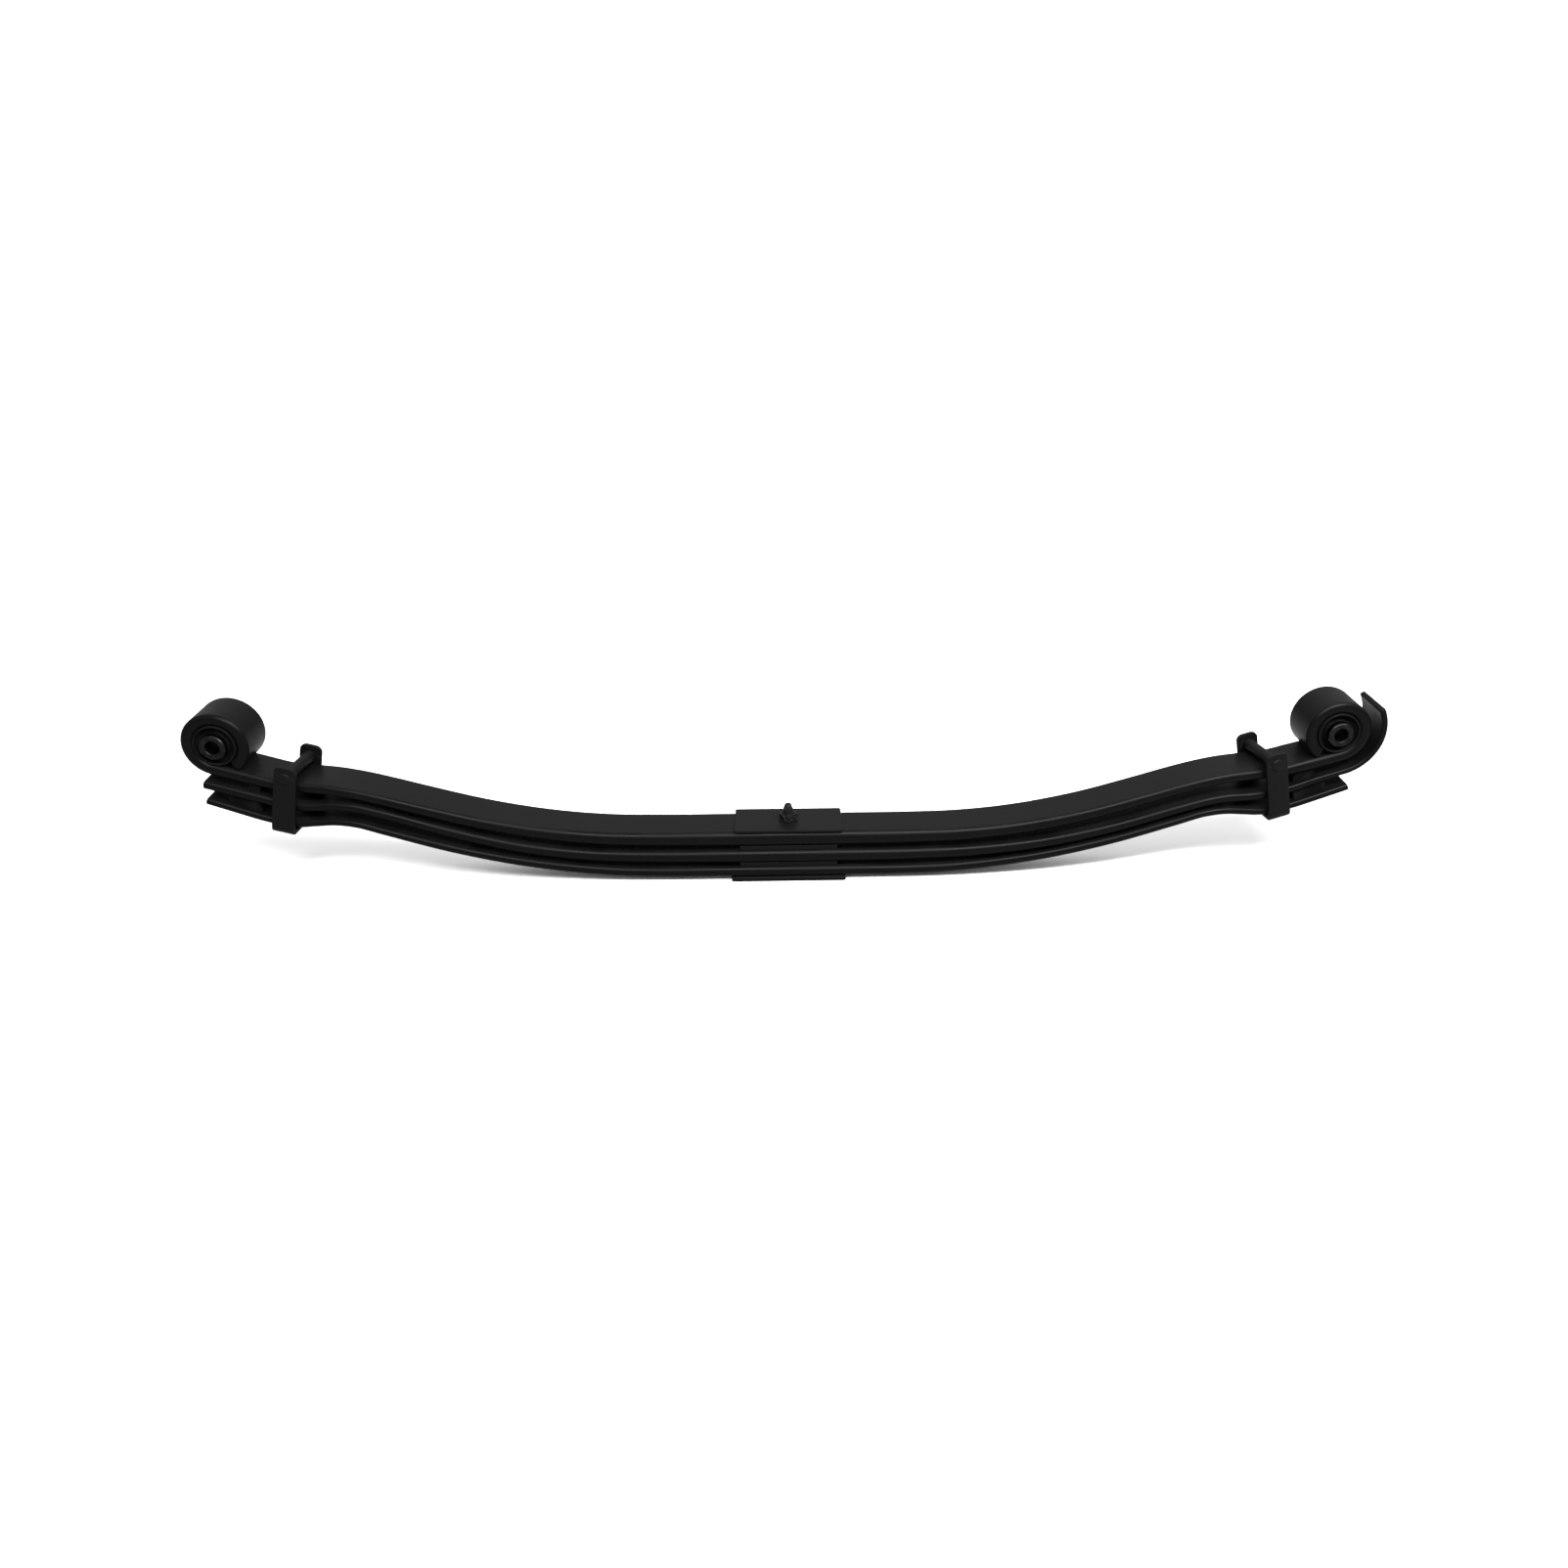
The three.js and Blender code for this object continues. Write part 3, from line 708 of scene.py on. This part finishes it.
nut_seat = Matrix.Translation((0, 0, nut_low[2] * MM))
nut = ring("centre_nut_hex", nut_profile, NUT_SEGMENTS, nut_seat)
settle(nut, FASTENER_PAINT, "fastener_steel", "centre", "centre_nut")


# ---------------------------------------------------------------- rebound clips

ALONG_Y = Matrix.Rotation(-math.pi / 2, 4, "X")  # turns +Z into +Y


def clip_matrix(side):
    """The clip's frame: its origin is on top of the main leaf, x along the leaf and z square to it."""
    sign = SIDES[side]
    reach = CLIP["reach"][side]
    top = smooth_curve(MAIN_TOP[side])(reach)
    at = Matrix.Translation(Vector((sign * (ARM[side] - reach), 0, top)) * MM)
    tilt = Matrix.Rotation(-sign * CLIP["tilt"], 4, "Y")
    skew = Matrix.Rotation(sign * CLIP["skew"][side], 4, "Z")
    return at @ tilt @ skew


def strap_path():
    """Points (y, z) along the middle of the strap, from one leg's top round to the other's."""
    half = CLIP["inside"] / 2 + CLIP["thickness"] / 2
    base = -CLIP["depth"] - CLIP["thickness"] / 2
    radius = CLIP["bend"] - CLIP["thickness"] / 2
    rise, corner = CLIP["rise"], CLIP["corner"]
    leg = []
    for k in range(ARC_STEPS + 1):
        turn = math.pi / 2 * k / ARC_STEPS
        leg.append((half, rise - corner * (1 - math.cos(turn))))
    leg += [(half, z) for z in (8, 0, -20, -40, -60)]
    for k in range(ARC_STEPS + 1):
        turn = math.pi / 2 * k / ARC_STEPS
        leg.append((half - radius + radius * math.cos(turn), base + radius - radius * math.sin(turn)))
    leg += [(half * 0.5, base), (half * 0.25, base)]
    return leg + [(0, base)] + [(-y, z) for y, z in reversed(leg)]


def strap_mesh():
    """Points and faces of the U-shaped strap, its legs' corners rounded."""
    path = strap_path()
    width, thickness = CLIP["width"], CLIP["thickness"]
    rise, corner = CLIP["rise"], CLIP["corner"]
    rows = []
    for i, (y, z) in enumerate(path):
        before, after = path[max(i - 1, 0)], path[min(i + 1, len(path) - 1)]
        along = Vector((after[0] - before[0], after[1] - before[1])).normalized()
        out = Vector((along[1], -along[0]))
        half = width / 2
        drop = rise - z
        if drop < corner:
            half = width / 2 - corner + math.sqrt(max(corner**2 - (corner - drop) ** 2, 0))
        deep = thickness / 2
        corners = [(-half, -deep), (half, -deep), (half, deep), (-half, deep)]
        outline = fillet(corners, 1.1, 3)
        rows.append([(x, y + out[0] * d, z + out[1] * d) for x, d in outline])
    return loft(rows)


def dome_rows(radius, height, base):
    """Rows of a low rounded head from its top, on the low side of base."""
    rows = [(0, base - height)]
    for k in range(1, ARC_STEPS + 1):
        turn = math.pi / 2 * k / ARC_STEPS
        rows.append((radius * math.sin(turn), base - height * math.cos(turn) * 0.86 - height * 0.14))
    rows.append((radius, base))
    return rows


def add_clip(side):
    """The rebound clip of one side: strap, spacer tube, bolt, nut and rivet."""
    place = clip_matrix(side)
    body = f"{side}_end"
    strap = mesh_object(f"{side}_strap", *strap_mesh(), matrix=place)
    for_bolt = place @ Matrix.Translation((0, 0, CLIP["bolt_height"] * MM)) @ ALONG_Y
    half_outside = CLIP["inside"] / 2 + CLIP["thickness"]
    drill = [(0, -60), (CLIP_BOLT_R + GAP, -60), (CLIP_BOLT_R + GAP, 60), (0, 60)]
    cut_away(strap, solid_of_turning("strap hole", drill, HOLE_SEGMENTS, for_bolt))
    settle(strap, PAD_PAINT, "pad_steel", body, f"{side}_clip_strap")

    tube_end = CLIP["inside"] / 2 - GAP
    spacer = ring(f"{side}_spacer", tube_profile(9, 5.4, -tube_end, tube_end, 0.6), 48, for_bolt)
    settle(spacer, FASTENER_PAINT, "fastener_steel", body, f"{side}_clip_spacer_tube")

    face = -half_outside - GAP
    end = half_outside + GAP + CLIP_NUT["height"] + 2
    rows = dome_rows(CLIP_HEAD_R, CLIP_HEAD_HEIGHT, face) + [
        (CLIP_BOLT_R, face), (CLIP_BOLT_R, end - 3),
        *thread_rows(CLIP_BOLT_R, 0.6, 1.25, end - 2.9, end - 0.6, lambda h: CLIP_BOLT_R, per_pitch=9),
        (CLIP_BOLT_R - 1.2, end), (0, end),
    ]
    bolt = solid_of_turning(f"{side}_bolt", rows, SEGMENTS, for_bolt)
    settle(bolt, FASTENER_PAINT, "fastener_steel", body, f"{side}_clip_bolt")

    profile = nut_rows(CLIP_NUT["flats"], CLIP_BOLT_R + GAP, CLIP_NUT["height"])
    seat = for_bolt @ Matrix.Translation((0, 0, (half_outside + GAP) * MM))
    nut = ring(f"{side}_nut", profile, NUT_SEGMENTS, seat)
    settle(nut, FASTENER_PAINT, "fastener_steel", body, f"{side}_clip_nut")

    under = -CLIP["depth"] - CLIP["thickness"] - GAP
    rows = dome_rows(7.5, 3, under) + [(4, under), (4, -CLIP["depth"]), (0, -CLIP["depth"])]
    rivet = solid_of_turning(f"{side}_rivet", rows, 48, place)
    settle(rivet, FASTENER_PAINT, "fastener_steel", body, f"{side}_clip_rivet")


# ---------------------------------------------------------------- bushes


def add_bush(side):
    """The bush of one eye: shell, rubber and inner sleeve."""
    sign = SIDES[side]
    place = Matrix.Translation(Vector((sign * ARM[side], 0, EYE_HEIGHT)) * MM) @ ALONG_Y
    body = f"{side}_end"
    profile = tube_profile(EYE_BORE_R - GAP, SHELL_INNER_R, -SHELL_HALF, SHELL_HALF, 0.9)
    shell = ring(f"{side}_shell", profile, FINE_SEGMENTS, place)
    settle(shell, PAD_PAINT, "pad_steel", body, f"{side}_bush_shell")

    bore_r, sleeve_r = SLEEVE_R
    inner, outer = sleeve_r + GAP, SHELL_INNER_R - GAP
    face = []
    for k in range(17):
        fall = RUBBER_DISH * max(0, math.sin(math.pi * k / 16)) ** 0.8
        face.append((inner + (outer - inner) * k / 16, RUBBER_HALF - fall))
    profile = face + [(r, -h) for r, h in reversed(face)]
    rubber = ring(f"{side}_rubber", profile, FINE_SEGMENTS, place, sharp=50)
    settle(rubber, BUSH_RUBBER, "bush_rubber", body, f"{side}_bush_rubber")

    half = [
        (sleeve_r, SLEEVE_HALF - 1.5), (sleeve_r - 1.5, SLEEVE_HALF),
        (bore_r + 0.8, SLEEVE_HALF), (bore_r, SLEEVE_HALF - 1),
    ]
    profile = fillet(half + [(r, -h) for r, h in reversed(half)], 0.35, 3)
    sleeve = ring(f"{side}_sleeve_tube", profile, FINE_SEGMENTS, place, sharp=50)
    settle(sleeve, SLEEVE_STEEL, "sleeve_steel", f"{side}_sleeve", f"{side}_inner_sleeve")


for side in SIDES:
    add_clip(side)
    add_bush(side)
    for level in ("upper", "lower"):
        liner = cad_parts[f"{side}_liner_{level}"]
        liner.data.materials.clear()
        liner.data.materials.append(LINER_PLASTIC)


# ---------------------------------------------------------------- floor, light and camera

floor_corners = [(x * FLOOR_REACH, y * FLOOR_REACH, 0) for x, y in ((-1, -1), (1, -1), (1, 1), (-1, 1))]
floor_mesh = bpy.data.meshes.new("floor")
floor_mesh.from_pydata(floor_corners, [], [(0, 1, 2, 3)])
floor = bpy.data.objects.new("floor", floor_mesh)
bpy.context.scene.collection.objects.link(floor)
floor_material, nodes, links, principled = shader("pale floor", FLOOR_SEEN, 0.9, ior=1.05)
seen = nodes.new("ShaderNodeLightPath").outputs["Is Camera Ray"]
links.new(mixed(nodes, links, seen, FLOOR_GIVEN_BACK, FLOOR_SEEN), principled.inputs["Base Color"])
floor_mesh.materials.append(floor_material)

world = bpy.data.worlds.new("studio")
world.use_nodes = True
nodes, links = world.node_tree.nodes, world.node_tree.links
direction = nodes.new("ShaderNodeSeparateXYZ")
links.new(nodes.new("ShaderNodeTexCoord").outputs["Generated"], direction.inputs["Vector"])
sky = remap(nodes, links, direction.outputs["Z"], 0.0, 1.0, *SKY_STRENGTH)
seen = nodes.new("ShaderNodeLightPath").outputs["Is Camera Ray"]
extra = calculate(nodes, links, "MULTIPLY", seen, SKY_SEEN_EXTRA)
links.new(calculate(nodes, links, "ADD", sky, extra), nodes["Background"].inputs["Strength"])
nodes["Background"].inputs["Color"].default_value = (1, 1, 1, 1)
bpy.context.scene.world = world
bpy.context.scene.view_settings.view_transform = "Standard"


def soft_light(name, location, target, size, power):
    """A rectangular area light that faces the target."""
    data = bpy.data.lights.new(name, "AREA")
    data.shape = "RECTANGLE"
    data.size, data.size_y = size
    data.energy = power
    light = bpy.data.objects.new(name, data)
    bpy.context.scene.collection.objects.link(light)
    light.location = location
    light.rotation_euler = (Vector(target) - Vector(location)).to_track_quat("-Z", "Y").to_euler()


soft_light("key", (0.5, -1.45, 1.95), (0, 0, 0.1), (2.8, 0.4), 160)
soft_light("right end", (0.95, -1.4, 1.9), (0.65, 0, 0.15), (0.5, 0.35), 30)

camera_data = bpy.data.cameras.new("camera")
camera_data.lens = 28.64
camera_data.sensor_width = 36
camera_data.shift_x = -0.0207
camera_data.shift_y = 0.0246
camera = bpy.data.objects.new("camera", camera_data)
bpy.context.scene.collection.objects.link(camera)
camera.location = (-0.0060, -1.7156, 0.9502)
camera.rotation_euler = (math.radians(90 - 26.843), 0, math.radians(-1.652))
bpy.context.scene.camera = camera

bpy.context.view_layer.update()
